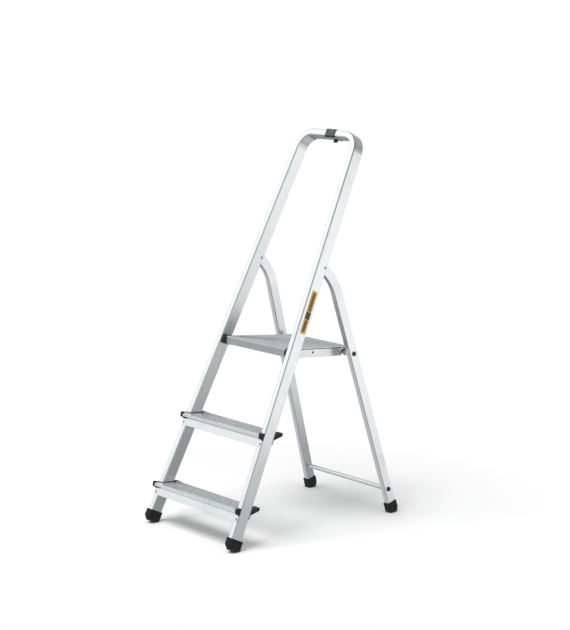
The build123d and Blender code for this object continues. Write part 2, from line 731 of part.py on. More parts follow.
# Rivets that the legs turn on, headed on both faces of the stiles
with BuildPart() as leg_rivet:
    outer_seat = stile_face(LEG_PIVOT_ALONG, LEG_PIVOT_DEEP, 0)
    inner_seat = -stile_face(LEG_PIVOT_ALONG, LEG_PIVOT_DEEP, tube_across)
    rivet_dome(outer_seat, LEG_RIVET_HEAD, LEG_RIVET_DOME)
    rivet_dome(inner_seat, LEG_RIVET_HEAD, LEG_RIVET_DOME)
    with BuildSketch(Plane.YZ.offset(inner_seat.origin.X - LEG_RIVET_DOME / 2)):
        with Locations((leg_pivot_y, leg_pivot_z)):
            Circle(LEG_RIVET_SHANK)
    extrude(amount=tube_across + LEG_RIVET_DOME)
save(leg_rivet, "leg_rivet_right")
save_mirrored(leg_rivet, "leg_rivet_left")


def cross_bar(place, radius):
    """Tube between the inner faces of the two rear legs."""
    with BuildPart() as bar:
        with BuildSketch(Plane.YZ):
            with Locations((place.Y, place.Z)):
                Circle(radius)
                Circle(ROD_RADIUS + ROD_FIT, mode=Mode.SUBTRACT)
        extrude(amount=place.X)
        split(bisect_by=leg_side.offset(-LEG_WIDTH / 2), keep=Keep.BOTTOM)
        mirror(about=Plane.YZ)
    return bar


def tie_rod(place):
    """Rod through a cross bar and both legs, ending inside the two end caps."""
    reach = place.X + LEG_WIDTH / 2 + WASHER_THICKNESS + (BAR_CAP_HEIGHT - BAR_CAP_TOP) / 2
    with BuildPart() as rod:
        with BuildSketch(Plane.YZ):
            with Locations((place.Y, place.Z)):
                Circle(ROD_RADIUS)
        extrude(amount=reach, both=True)
    return rod


# Cross bars and the rods that draw them up
save(cross_bar(bar_places["platform"], PLATFORM_BAR_RADIUS), "platform_bar")
save(cross_bar(bar_places["lower"], LOWER_BAR_RADIUS), "lower_bar")
save(tie_rod(bar_places["platform"]), "platform_tie_rod")
save(tie_rod(bar_places["lower"]), "lower_tie_rod")


def rod_seat(place, height):
    """Plane square to the right leg where a rod reaches a height over the leg's outer face."""
    reach = (LEG_WIDTH / 2 + height) / cos(splay)
    return Plane(origin=place + Vector(reach, 0, 0), x_dir=leg_back, z_dir=leg_across)


# Washers and end caps of the rods, on the outer faces of the legs
with BuildPart() as bar_washers:
    for place in bar_places.values():
        with BuildSketch(rod_seat(place, 0)):
            Circle(WASHER_RADIUS)
            Circle(ROD_RADIUS + ROD_FIT, mode=Mode.SUBTRACT)
        extrude(amount=WASHER_THICKNESS)
    mirror(about=Plane.YZ)
save(bar_washers, "bar_washers")

with BuildPart() as bar_caps:
    for place in bar_places.values():
        with BuildSketch(rod_seat(place, WASHER_THICKNESS)):
            Circle(BAR_CAP_RADIUS)
        extrude(amount=BAR_CAP_HEIGHT)
    crown_height = LEG_WIDTH / 2 + WASHER_THICKNESS + BAR_CAP_HEIGHT
    crown_edges = bar_caps.edges().filter_by(
        lambda e: abs(leg_side.to_local_coords(e.center()).Z - crown_height) < BAR_CAP_ROUND
    )
    fillet(crown_edges, BAR_CAP_ROUND)
    for place in bar_places.values():
        with BuildSketch(rod_seat(place, WASHER_THICKNESS)):
            Circle(ROD_RADIUS + ROD_FIT)
        extrude(amount=BAR_CAP_HEIGHT - BAR_CAP_TOP, mode=Mode.SUBTRACT)
    mirror(about=Plane.YZ)
save(bar_caps, "bar_caps")

# Platform planes: the side view runs backwards and up from the pivot, the plan across and backwards
bar_behind = bar_places["platform"].Y - platform_pivot_y
bar_above = bar_places["platform"].Z - platform_pivot_z
bar_distance = hypot(bar_behind, bar_above)
platform_tilt = -atan2(bar_above, bar_behind) - asin(HOOK_DROP / bar_distance)
bar_reach = bar_distance * cos(asin(HOOK_DROP / bar_distance))
platform_origin = (0, platform_pivot_y, platform_pivot_z)
platform_back = (0, cos(platform_tilt), -sin(platform_tilt))
platform_side = Plane(origin=platform_origin, x_dir=platform_back, z_dir=(1, 0, 0))
platform_plan = Plane(
    origin=platform_origin, x_dir=(1, 0, 0), z_dir=(0, sin(platform_tilt), cos(platform_tilt))
)
deck_end = bar_reach + DECK_REAR_REACH
deck_top = DECK_LIFT + DECK_PLATE
first_rib = -FRONT_PANEL_REACH + RIB_FOOT / 2
rib_count = int((deck_end - RIB_FOOT / 2 - first_rib) / RIB_PITCH) + 1


def deck_half(back):
    """Half the platform's width at a distance behind its pivot."""
    return PLATFORM_HALF_WIDTH - PLATFORM_TAPER * back


def plan_strip(start, end, outer_inset, inner_inset):
    """Corners of a strip along the platform's right edge, in plan."""
    return [
        (deck_half(start) - outer_inset, start),
        (deck_half(end) - outer_inset, end),
        (deck_half(end) - inner_inset, end),
        (deck_half(start) - inner_inset, start),
    ]


def keep_plan(corners):
    """Trim the platform piece being built to an outline in plan."""
    with BuildSketch(platform_plan) as outline:
        Polygon(*corners, align=None)
    extrude(outline.sketch, amount=FAR, both=True, mode=Mode.INTERSECT)


def deck_lip(start, bottom, inset):
    """Downturned edge of the deck between its side pieces."""
    end = start + DECK_PLATE
    width = 2 * (deck_half(end) - inset - CAP_FIT)
    with BuildPart() as lip:
        with BuildSketch(platform_plan.offset(bottom)):
            with Locations((0, (start + end) / 2)):
                Rectangle(width, DECK_PLATE)
        extrude(amount=DECK_LIFT - bottom)
    return lip


def side_rivet_seat():
    """Seat of the rivet through the right side panel and its hook."""
    at = platform_plan.from_local_coords((deck_half(SIDE_RIVET_AT), SIDE_RIVET_AT, -SIDE_RIVET_DROP))
    outward = platform_plan.x_dir + platform_plan.y_dir * PLATFORM_TAPER
    return Plane(origin=at, x_dir=platform_plan.z_dir, z_dir=outward)


def deck_rivet_seats(side):
    """Seats under one side panel's flange of the rivets that hold the deck down."""
    base = platform_plan.offset(DECK_LIFT - SIDE_PLATE)
    rows = [first_rib + (gap + 0.5) * RIB_PITCH for gap in DECK_RIVET_GAP_NUMBERS]
    places = [(side * (deck_half(back) - DECK_RIVET_INSET), back, 0) for back in rows]
    return [
        Plane(origin=base.from_local_coords(place), x_dir=base.x_dir, z_dir=-base.z_dir) for place in places
    ]


side_grip = SIDE_PLATE + HOOK_PLATE
deck_grip = SIDE_PLATE + DECK_PLATE

# Deck with ribs pressed up from below and closed at their ends, a deep front panel and a short rear lip
front_panel = deck_lip(-FRONT_PANEL_REACH, -FRONT_PANEL_DROP, SIDE_PLATE)
rear_lip = deck_lip(deck_end - DECK_PLATE, DECK_LIFT - REAR_LIP_DROP, SIDE_PLATE + HOOK_PLATE)
with BuildPart() as platform_deck:
    with BuildSketch(platform_side):
        with Locations(((deck_end - FRONT_PANEL_REACH) / 2, DECK_LIFT + DECK_PLATE / 2)):
            Rectangle(deck_end + FRONT_PANEL_REACH, DECK_PLATE)
        for number in range(rib_count):
            middle = first_rib + number * RIB_PITCH
            Polygon(
                (middle - RIB_FOOT / 2, deck_top),
                (middle - RIB_TOP / 2, deck_top + RIB_HEIGHT),
                (middle + RIB_TOP / 2, deck_top + RIB_HEIGHT),
                (middle + RIB_FOOT / 2, deck_top),
                align=None,
            )
    extrude(amount=FLOOR_SPREAD / 2, both=True)
    with BuildSketch(platform_side):
        for number in range(rib_count):
            middle = first_rib + number * RIB_PITCH
            Polygon(
                (middle - RIB_FOOT / 2 + RIB_WALL, DECK_LIFT),
                (middle - RIB_TOP / 2 + RIB_WALL, deck_top + RIB_HEIGHT - RIB_WALL),
                (middle + RIB_TOP / 2 - RIB_WALL, deck_top + RIB_HEIGHT - RIB_WALL),
                (middle + RIB_FOOT / 2 - RIB_WALL, DECK_LIFT),
                align=None,
            )
    rib_hollow = PLATFORM_HALF_WIDTH - PLATFORM_TAPER * deck_end - RIB_END
    extrude(amount=rib_hollow, both=True, mode=Mode.SUBTRACT)
    right_edge = plan_strip(-FRONT_PANEL_REACH, deck_end, 0, 0)[:2]
    left_edge = [(-x, back) for x, back in reversed(right_edge)]
    keep_plan(right_edge + left_edge)
    add(front_panel.part)
    add(rear_lip.part)
    rivet_holes(deck_rivet_seats(-1) + deck_rivet_seats(1), deck_grip)
save(platform_deck, "platform_deck")

# Side panel with a lug round the pivot pin and a flange under the deck
with BuildPart() as platform_side_panel:
    with BuildSketch(platform_side):
        with Locations((SIDE_LENGTH / 2, (DECK_LIFT - SIDE_DROP) / 2)):
            Rectangle(SIDE_LENGTH, DECK_LIFT + SIDE_DROP)
        Circle(LUG_RADIUS)
        with Locations((0, DECK_LIFT + LUG_RADIUS)):
            Rectangle(4 * LUG_RADIUS, 2 * LUG_RADIUS, mode=Mode.SUBTRACT)
    extrude(amount=FLOOR_SPREAD / 2)
    keep_plan(plan_strip(-LUG_RADIUS, SIDE_LENGTH, 0, SIDE_PLATE))
    with BuildSketch(platform_plan.offset(DECK_LIFT - SIDE_PLATE)):
        Polygon(*plan_strip(SIDE_FLANGE_START, SIDE_LENGTH, SIDE_PLATE, SIDE_PLATE + SIDE_FLANGE), align=None)
    extrude(amount=SIDE_PLATE)
    across_bore(platform_pivot_y, platform_pivot_z, PIN_SHANK + TURNING_FIT, 0, FAR)
    rivet_holes([side_rivet_seat()], side_grip)
    rivet_holes(deck_rivet_seats(1), deck_grip)
save(platform_side_panel, "platform_side_right")
save_mirrored(platform_side_panel, "platform_side_left")


def bar_mouth(half_gap, mode):
    """Round seat over the platform bar with a mouth that opens down and forward."""
    down = (-cos(radians(MOUTH_ANGLE)), -sin(radians(MOUTH_ANGLE)))
    square = (-down[1], down[0])
    seat = (bar_reach, -HOOK_DROP)
    length = 2 * SIDE_DROP
    corners = []
    for across, along in ((1, 0), (1, length), (-1, length), (-1, 0)):
        x = seat[0] + across * half_gap * square[0] + along * down[0]
        y = seat[1] + across * half_gap * square[1] + along * down[1]
        corners.append((x, y))
    with Locations(seat):
        Circle(half_gap, mode=mode)
    Polygon(*corners, align=None, mode=mode)


mouth_half = PLATFORM_BAR_RADIUS + BAR_GAP

# Hook bracket inside the side panel
with BuildPart() as platform_hook:
    with BuildSketch(platform_side):
        Polygon(
            (HOOK_START, -SIDE_DROP),
            (HOOK_START, DECK_LIFT - SIDE_PLATE),
            (SIDE_LENGTH, DECK_LIFT - SIDE_PLATE),
            (SIDE_LENGTH, DECK_LIFT),
            (deck_end, DECK_LIFT),
            (deck_end, -SIDE_DROP),
            align=None,
        )
        bar_mouth(mouth_half + LINER_WALL + CAP_FIT, Mode.SUBTRACT)
        with Locations((HOOK_HOLE_AT, 0)):
            Circle(HOOK_HOLE_RADIUS, mode=Mode.SUBTRACT)
    extrude(amount=FLOOR_SPREAD / 2)
    keep_plan(plan_strip(HOOK_START, deck_end, SIDE_PLATE, SIDE_PLATE + HOOK_PLATE))
    rivet_holes([side_rivet_seat()], side_grip)
save(platform_hook, "platform_hook_right")
save_mirrored(platform_hook, "platform_hook_left")

# Plastic liner of the hook's mouth
with BuildPart() as hook_liner:
    with BuildSketch(platform_side):
        bar_mouth(mouth_half + LINER_WALL, Mode.ADD)
        bar_mouth(mouth_half, Mode.SUBTRACT)
        with Locations((bar_reach, -SIDE_DROP - FAR / 2)):
            Rectangle(FAR, FAR, mode=Mode.SUBTRACT)
    extrude(amount=FLOOR_SPREAD / 2)
    keep_plan(plan_strip(HOOK_START, deck_end, SIDE_PLATE, SIDE_PLATE + HOOK_PLATE + LINER_PROUD))
save(hook_liner, "hook_liner_right")
save_mirrored(hook_liner, "hook_liner_left")

# Rivets between side panels and hooks, and between side panels and deck
with BuildPart() as platform_rivets:
    rivet(side_rivet_seat(), RIVET_SHANK, side_grip, RIVET_HEAD, RIVET_DOME)
    for seat in deck_rivet_seats(1):
        rivet(seat, RIVET_SHANK, deck_grip, RIVET_HEAD, RIVET_DOME)
    mirror(about=Plane.YZ)
save(platform_rivets, "platform_rivets")

# Bush between the stile and the platform's lug
bush_start = deck_half(-LUG_RADIUS) + BUSH_GAP
pin_wall_x = half_width(PLATFORM_PIVOT_ALONG) - tube_across
with BuildPart() as platform_bush:
    with BuildSketch(Plane.YZ.offset(bush_start)):
        with Locations((platform_pivot_y, platform_pivot_z)):
            Circle(BUSH_RADIUS)
            Circle(PIN_SHANK + RIVET_FIT, mode=Mode.SUBTRACT)
    extrude(amount=pin_wall_x - bush_start + BUSH_RADIUS)
    split(
        bisect_by=stile_face(PLATFORM_PIVOT_ALONG, PLATFORM_PIVOT_DEEP, tube_across), keep=Keep.BOTTOM
    )
save(platform_bush, "platform_bush_right")
save_mirrored(platform_bush, "platform_bush_left")

# Pin of the platform, headed inside the lug and set in the stile's inner wall
pin_head_x = deck_half(PIN_HEAD) - SIDE_PLATE - BUSH_GAP
pin_end_x = pin_wall_x + TUBE_WALL + PIN_GRIP
with BuildPart() as platform_pin:
    with BuildSketch(Plane.YZ.offset(pin_head_x)):
        with Locations((platform_pivot_y, platform_pivot_z)):
            Circle(PIN_SHANK)
    extrude(amount=pin_end_x - pin_head_x)
    pin_at = (pin_head_x, platform_pivot_y, platform_pivot_z)
    rivet_dome(Plane(origin=pin_at, x_dir=(0, 1, 0), z_dir=(-1, 0, 0)), PIN_HEAD, PIN_HEAD_HEIGHT)
save(platform_pin, "platform_pin_right")
save_mirrored(platform_pin, "platform_pin_left")
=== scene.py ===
import math

import bmesh
import bpy
from mathutils import Matrix, Vector


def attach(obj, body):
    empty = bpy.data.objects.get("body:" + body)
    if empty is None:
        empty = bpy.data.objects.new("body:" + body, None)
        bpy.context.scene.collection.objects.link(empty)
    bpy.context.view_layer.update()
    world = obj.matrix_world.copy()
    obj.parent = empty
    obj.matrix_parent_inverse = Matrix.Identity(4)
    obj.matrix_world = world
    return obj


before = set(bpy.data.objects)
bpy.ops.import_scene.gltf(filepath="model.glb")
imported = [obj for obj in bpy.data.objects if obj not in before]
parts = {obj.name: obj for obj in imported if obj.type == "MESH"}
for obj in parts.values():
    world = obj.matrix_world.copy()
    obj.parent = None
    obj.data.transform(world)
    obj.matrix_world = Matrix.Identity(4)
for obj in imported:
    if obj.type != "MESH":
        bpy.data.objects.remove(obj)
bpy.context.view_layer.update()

# Where the ladder stands, as the solids have it (metres and degrees)
FRONT_LEAN = 25.8
REAR_LEAN = 16.0
FLOOR_LINE = -0.371747
STILE_HALF_SPREAD = 0.2245
STILE_TAPER = 0.0567
HOOP_TOP = 1.411
HOOP_RADIUS = 0.070
HOOP_WIDTH = 0.022
TREAD_TILT = 4.5
PLATFORM_TILT = 5.4
PLATFORM_PIVOT = (-0.066488, 0.585506)
DECK_TOP = 0.009
NOTCH_PITCH = 0.0077
# Painted highlight on the front strip of a tread: it starts and is full at these distances behind the
# stile's front face
STRIP_HIGHLIGHT_FADE = (-0.0125, -0.0160)

# Label on the right stile: its span up the stile and behind the stile's front face
LABEL_ALONG = (0.730, 0.8735)
LABEL_DEEP = (0.0125, 0.0340)
LABEL_CORNER = 0.0022
LABEL_FILM = 0.00035

# Tones of the metals, their wear and their dirt, and the colours of painted highlights and painted shade
STILE_TONE = (0.88, 0.885, 0.89, 1.0)
LEG_TONE = (0.87, 0.875, 0.885, 1.0)
TREAD_TONE = (0.77, 0.775, 0.78, 1.0)
# Painted highlight: colour of each tread's bright front strip
STRIP_HIGHLIGHT_TONE = (0.96, 0.965, 0.97, 1.0)
# Painted shade: dark colour for the tread's notches and for the faces under its nosing
TREAD_PAINTED_SHADE = (0.28, 0.28, 0.29, 1.0)
DECK_TONE = (0.575, 0.58, 0.585, 1.0)
# Painted shade in the deck's seam, and a painted highlight on the ends of its ribs
DECK_SEAM_SHADE = (0.12, 0.12, 0.12, 1.0)
RIB_END_HIGHLIGHT = (0.94, 0.94, 0.94, 1.0)
SIDE_TONE = (0.88, 0.882, 0.885, 1.0)
HANDLED_TONE = (0.66, 0.66, 0.65, 1.0)
RUBBED_EDGE = (0.93, 0.93, 0.93, 1.0)

# Studio
FLOOR_RADIUS = 6.0
PAPER_WHITE = (1.0, 1.0, 1.0, 1.0)

# Camera at the photograph's viewing angle
EYE_AT = (4.32358, -3.604637, 1.65829)
EYE_SWING = 49.786
EYE_DIP = 9.862
EYE_LENS = 100.499
EYE_SENSOR = 36.0


class Wire:
    """A socket in a material; sums written with it add the Math nodes they need."""

    def __init__(self, tree, socket=None):
        self.tree = tree
        self.socket = socket

    def node(self, kind, settings=None, sockets=None, out=0):
        """Adds a node of that kind, with its settings and then its sockets; gives one of its outputs."""
        made = self.tree.nodes.new("ShaderNode" + kind)
        for name, value in (settings or {}).items():
            setattr(made, name, value)
        for name, value in (sockets or {}).items():
            if isinstance(value, Wire):
                self.tree.links.new(value.socket, made.inputs[name])
            else:
                made.inputs[name].default_value = value
        return Wire(self.tree, made.outputs[out])

    def sum(self, operation, first, second=0.0):
        return self.node("Math", {"operation": operation}, {0: first, 1: second})

    def __add__(self, other):
        return self.sum("ADD", self, other)

    def __radd__(self, other):
        return self.sum("ADD", other, self)

    def __sub__(self, other):
        return self.sum("SUBTRACT", self, other)

    def __rsub__(self, other):
        return self.sum("SUBTRACT", other, self)

    def __mul__(self, other):
        return self.sum("MULTIPLY", self, other)

    def __rmul__(self, other):
        return self.sum("MULTIPLY", other, self)

    def __truediv__(self, other):
        return self.sum("DIVIDE", self, other)

    def __rtruediv__(self, other):
        return self.sum("DIVIDE", other, self)

    def __abs__(self):
        return self.sum("ABSOLUTE", self)

    def least(self, low):
        return self.sum("MAXIMUM", self, low)

    def step(self, low, high):
        """0 below low, 1 above high, smooth between; low may be the larger."""
        return self.node("MapRange", {"interpolation_type": "SMOOTHSTEP"},
                         {"Value": self, "From Min": low, "From Max": high})

    def mix(self, dark, light):
        """Colour between two colours, by this value."""
        return self.node("Mix", {"data_type": "RGBA"}, {0: self, 6: dark, 7: light}, 2)

    def noise(self, size, detail=3.0, rough=0.55):
        """Cloud of that size in metres, about 0.5 on average."""
        return self.node("TexNoise", {}, {"Vector": self, "Scale": 1.0 / size, "Detail": detail,
                                          "Roughness": rough})

    def axes(self):
        """The three parts of a vector."""
        made = self.node("SeparateXYZ", {}, {0: self})
        return made, *(Wire(self.tree, made.socket.node.outputs[i]) for i in (1, 2))

    def point(self, x, y, z):
        return self.node("CombineXYZ", {}, {0: x, 1: y, 2: z})


def new_finish(name):
    """An empty finish, and the place on the piece in the ladder's own metres."""
    finish = bpy.data.materials.new(name)
    finish.use_nodes = True
    wire = Wire(finish.node_tree)
    return finish, wire.node("TexCoord", {}, {}, 3)


def coat(finish, sockets):
    """Sets or links the shader's own sockets."""
    shader = finish.node_tree.nodes["Principled BSDF"]
    for name, value in sockets.items():
        if isinstance(value, Wire):
            finish.node_tree.links.new(value.socket, shader.inputs[name])
        else:
            shader.inputs[name].default_value = value
    return finish


def coated(finish, name):
    """What already feeds one of the shader's sockets."""
    shader = finish.node_tree.nodes["Principled BSDF"]
    return Wire(finish.node_tree, shader.inputs[name].links[0].from_socket)


def face_way(place):
    """The way a face looks."""
    return place.node("NewGeometry", {}, {}, 1)


def soft_edge(place, radius):
    """The way a face looks, turned as if its edges were rounded by that radius."""
    return place.node("Bevel", {"samples": 4}, {"Radius": radius})


def worn_edge(place, edge):
    """1 along the piece's edges, 0 on its flats."""
    meet = place.node("VectorMath", {"operation": "DOT_PRODUCT"}, {0: edge, 1: face_way(place)}, 1)
    return meet.step(0.985, 0.80)


def bump(height, edge, depth, strength):
    """Relief of that depth in metres on the faces' own way of looking."""
    return height.node("Bump", {}, {"Height": height, "Normal": edge, "Distance": depth,
                                    "Strength": strength})


def drawn_metal(finish, spot, grain, tone, roughness, depth=0.000035, round_off=0.0008):
    """Aluminium pulled through a die: fine lines that run with the section, cloudy sheen, light scuffs."""
    fine = grain.noise(1.0, 2.0)
    broad = grain.node("Mapping", {}, {"Vector": grain, "Scale": (0.16, 0.16, 0.5)}).noise(1.0, 2.0)
    cloud = spot.noise(0.11, 3.0)
    handled = spot.noise(0.06, 3.0, 0.6).step(0.50, 0.80)
    scratch = spot.node("Mapping", {}, {"Vector": spot, "Rotation": (0.5, 0.3, 0.8),
                                        "Scale": (900.0, 70.0, 120.0)}).noise(1.0, 1.0).step(0.70, 0.76)
    edge = soft_edge(spot, round_off)
    worn = worn_edge(spot, edge)
    shade = fine * 0.35 + broad * 0.40 + cloud * 0.25
    dull = [c * 0.95 for c in tone[:3]] + [1.0]
    colour = shade.step(0.25, 0.75).mix(dull, tone)
    colour = (handled * 0.10).mix(colour, HANDLED_TONE)
    colour = (worn * 0.5).mix(colour, RUBBED_EDGE)
    gloss = roughness - 0.08 + fine * 0.06 + broad * 0.05 + cloud * 0.10 + handled * 0.05 - scratch * 0.04
    relief = fine * 0.6 + broad * 0.8 + scratch * -0.5
    return coat(finish, {"Metallic": 1.0, "Base Color": colour, "Roughness": gloss,
                         "Normal": bump(relief, edge, depth, 0.5)})


def stile_place(spot):
    """Distance across the ladder, up a stile from the floor, and behind the stile's front face."""
    x, y, z = spot.axes()
    lean = math.radians(FRONT_LEAN)
    back = y - FLOOR_LINE
    return x, back * math.sin(lean) + z * math.cos(lean), back * math.cos(lean) - z * math.sin(lean)


def hoop_grain(spot):
    """Lines that follow the bent tube: across its wall, through its depth, and slowly along it."""
    x, along, deep = stile_place(spot)
    bend_start = HOOP_TOP - HOOP_RADIUS
    bend_across = STILE_HALF_SPREAD - STILE_TAPER * bend_start - HOOP_RADIUS
    past = (abs(x) - bend_across + (along - bend_start) * STILE_TAPER).least(0.0)
    over = (along - bend_start).least(0.0)
    reach = spot.node("VectorMath", {"operation": "LENGTH"}, {0: spot.point(past, over, 0.0)}, 1)
    return spot.point(reach * 900.0, deep * 900.0, (along - abs(x)) * 5.0)


def turned_grain(spot, turn, long_axis):
    """Lines along one axis after the piece is turned about X."""
    size = [0.0011, 0.0011, 0.0011]
    size["XYZ".index(long_axis)] = 0.20
    return spot.node("Mapping", {"vector_type": "TEXTURE"},
                     {"Vector": spot, "Rotation": (math.radians(turn), 0.0, 0.0), "Scale": size})


def frame_aluminium():
    """Stiles and hoop."""
    finish, spot = new_finish("drawn_frame_aluminium")
    return drawn_metal(finish, spot, hoop_grain(spot), STILE_TONE, 0.25)


def leg_aluminium():
    """Rear legs."""
    finish, spot = new_finish("drawn_leg_aluminium")
    grain = turned_grain(spot, REAR_LEAN, "Z")
    return drawn_metal(finish, spot, grain, LEG_TONE, 0.25)


def tread_aluminium():
    """Ribbed extrusion: notches rolled across the ribs with painted shade in them, a painted highlight on
    the front strip, painted shade under the nosing.
    """
    finish, spot = new_finish("ribbed_tread_aluminium")
    drawn_metal(finish, spot, turned_grain(spot, TREAD_TILT, "X"), TREAD_TONE, 0.21, 0.00005)
    x = spot.axes()[0]
    _, rearward, upward = face_way(spot).axes()
    beat = abs(x.sum("PINGPONG", x, NOTCH_PITCH / 2) / NOTCH_PITCH)
    top = upward.step(0.90, 0.97)
    notch = beat.step(0.17, 0.10) * top
    # Painted shade: faces that look forward and down, under the nosing
    under_nosing_shade = rearward.step(-0.10, -0.30) * upward.step(-0.08, -0.40)
    # Painted highlight: the top of each tread's front strip is painted near white
    strip = rearward.step(0.05, 0.0) * top * stile_place(spot)[2].step(*STRIP_HIGHLIGHT_FADE)
    # Painted shade: the notches on top, outside the front strip, and the faces under the nosing are
    # darkened
    painted_shade = (notch * (1.0 - strip) * 0.60).least(under_nosing_shade * 0.75)
    metal = strip.mix(coated(finish, "Base Color"), STRIP_HIGHLIGHT_TONE)
    return coat(finish, {"Base Color": painted_shade.mix(metal, TREAD_PAINTED_SHADE),
                         "Roughness": coated(finish, "Roughness") + notch * 0.15,
                         "Normal": bump(1.0 - notch, coated(finish, "Normal"), 0.0006, 0.6)})


def deck_aluminium():
    """Rolled deck: a painted highlight on the ribs' ends and painted shade in the seam under them."""
    finish, spot = new_finish("rolled_deck_aluminium")
    drawn_metal(finish, spot, turned_grain(spot, PLATFORM_TILT, "X"), DECK_TONE, 0.33, 0.00008, 0.0018)
    _, y, z = spot.axes()
    tilt = math.radians(PLATFORM_TILT)
    height = (y - PLATFORM_PIVOT[0]) * math.sin(tilt) + (z - PLATFORM_PIVOT[1]) * math.cos(tilt)
    # Painted highlight and painted shade on the deck plate's sideways faces: light on the ribs' ends, dark
    # in the seam below them
    sideways = abs(face_way(spot).axes()[0]).step(0.80, 0.95)
    rib_end = height.step(DECK_TOP - 0.0002, DECK_TOP + 0.0004)
    painted_ends = rib_end.mix(DECK_SEAM_SHADE, RIB_END_HIGHLIGHT)
    return coat(finish, {"Base Color": sideways.mix(coated(finish, "Base Color"), painted_ends)})


def side_aluminium():
    """Side panels of the platform."""
    finish, spot = new_finish("folded_side_aluminium")
    grain = turned_grain(spot, PLATFORM_TILT, "Y")
    return drawn_metal(finish, spot, grain, SIDE_TONE, 0.28)


def bar_zinc():
    """Bright drawn steel bar under zinc: lines along X, faint spangle."""
    finish, spot = new_finish("bright_bar_zinc")
    grain = spot.node("Mapping", {}, {"Vector": spot, "Scale": (6.0, 700.0, 700.0)}).noise(1.0, 2.0)
    spangle = spot.node("TexVoronoi", {}, {"Vector": spot, "Scale": 160.0}, 1)
    tint = spot.node("RGBToBW", {}, {0: spangle})
    cloud = spot.noise(0.05, 3.0)
    edge = soft_edge(spot, 0.0005)
    colour = (tint * 0.35 + cloud * 0.5).mix((0.70, 0.71, 0.73, 1.0), (0.86, 0.87, 0.88, 1.0))
    return coat(finish, {"Metallic": 1.0, "Base Color": colour,
                         "Roughness": 0.10 + grain * 0.10 + cloud * 0.12 + tint * 0.04,
                         "Normal": bump(grain + tint * 0.4, edge, 0.00004, 0.5)})


def hook_steel():
    """Pressed steel bracket, dull clouded zinc, rubbed pale along its edges."""
    finish, spot = new_finish("dull_hook_zinc")
    cloud = spot.noise(0.022, 4.0, 0.6)
    grit = spot.noise(0.0011, 2.0)
    edge = soft_edge(spot, 0.0009)
    worn = worn_edge(spot, edge)
    colour = cloud.step(0.30, 0.72).mix((0.66, 0.67, 0.68, 1.0), (0.84, 0.85, 0.86, 1.0))
    colour = (worn * 0.7).mix(colour, (0.82, 0.82, 0.83, 1.0))
    return coat(finish, {"Metallic": 1.0, "Base Color": colour,
                         "Roughness": 0.30 + cloud * 0.16 + grit * 0.08 - worn * 0.10,
                         "Normal": bump(grit + cloud, edge, 0.00010, 0.6)})


def rivet_metal(name, dark, light):
    """Set rivet heads: mottled by the setting tool, rubbed pale on their rims."""
    finish, spot = new_finish(name)
    cloud = spot.noise(0.004, 3.0)
    edge = soft_edge(spot, 0.0006)
    worn = worn_edge(spot, edge)
    colour = cloud.step(0.3, 0.7).mix((dark, dark, dark * 1.03, 1.0), (light, light, light * 1.02, 1.0))
    colour = (worn * 0.4).mix(colour, (0.66, 0.66, 0.67, 1.0))
    return coat(finish, {"Metallic": 1.0, "Base Color": colour, "Roughness": 0.34 + cloud * 0.18,
                         "Normal": bump(cloud, edge, 0.0002, 0.5)})


def moulded_plastic(name, dark, light, edge_tone):
    """Moulded nylon: spark-eroded grain, greyed edges and a little chalky bloom."""
    finish, spot = new_finish(name)
    skin = spot.node("TexVoronoi", {"feature": "SMOOTH_F1"}, {"Vector": spot, "Scale": 900.0})
    pits = spot.noise(0.0007, 2.0)
    bloom = spot.noise(0.018, 4.0, 0.6)
    edge = soft_edge(spot, 0.0010)
    worn = worn_edge(spot, edge)
    colour = bloom.step(0.35, 0.75).mix((dark, dark, dark * 1.06, 1.0), (light, light, light * 1.05, 1.0))
    colour = (worn * 0.35).mix(colour, (edge_tone, edge_tone, edge_tone * 1.04, 1.0))
    return coat(finish, {"Base Color": colour, "Roughness": 0.36 + bloom * 0.16 + pits * 0.10,
                         "Specular IOR Level": 0.4,
                         "Normal": bump(skin * 0.7 + pits * 0.5, edge, 0.00016, 0.55)})


def clip_plastic():
    """Saddle on the hoop: its base colour is lightened to grey as a painted sheen, and its lip and tongue
    are painted black as painted shade.
    """
    # Painted sheen: the clip's base colour is a lighter grey than the other black plastic
    finish = moulded_plastic("moulded_clip_plastic", 0.055, 0.080, 0.14)
    grey = coated(finish, "Base Color")
    along = stile_place(grey.node("TexCoord", {}, {}, 3))[1]
    # Painted shade: below the hoop's underside, the lip and tongue are painted near black
    under = along.step(HOOP_TOP - HOOP_WIDTH + 0.0008, HOOP_TOP - HOOP_WIDTH - 0.0004)
    return coat(finish, {"Base Color": (under * 0.92).mix(grey, (0.008, 0.008, 0.008, 1.0))})


def black_rubber():
    """Foot rubber: matt and slightly pitted, with pale dust near the floor and scuffed edges."""
    finish, spot = new_finish("scuffed_black_rubber")
    height = spot.axes()[2]
    pits = spot.noise(0.0013, 3.0)
    smear = spot.noise(0.011, 4.0, 0.65)
    dust = height.step(0.020, 0.0) * smear.step(0.42, 0.72)
    edge = soft_edge(spot, 0.0014)
    worn = worn_edge(spot, edge)
    colour = pits.mix((0.006, 0.006, 0.006, 1.0), (0.016, 0.016, 0.016, 1.0))
    colour = (dust * 0.40 + worn * 0.15).mix(colour, (0.11, 0.105, 0.10, 1.0))
    return coat(finish, {"Base Color": colour, "Roughness": 0.58 + smear * 0.16 + dust * 0.15,
                         "Specular IOR Level": 0.32,
                         "Normal": bump(pits * 0.8 + smear * 0.5, edge, 0.0003, 0.6)})


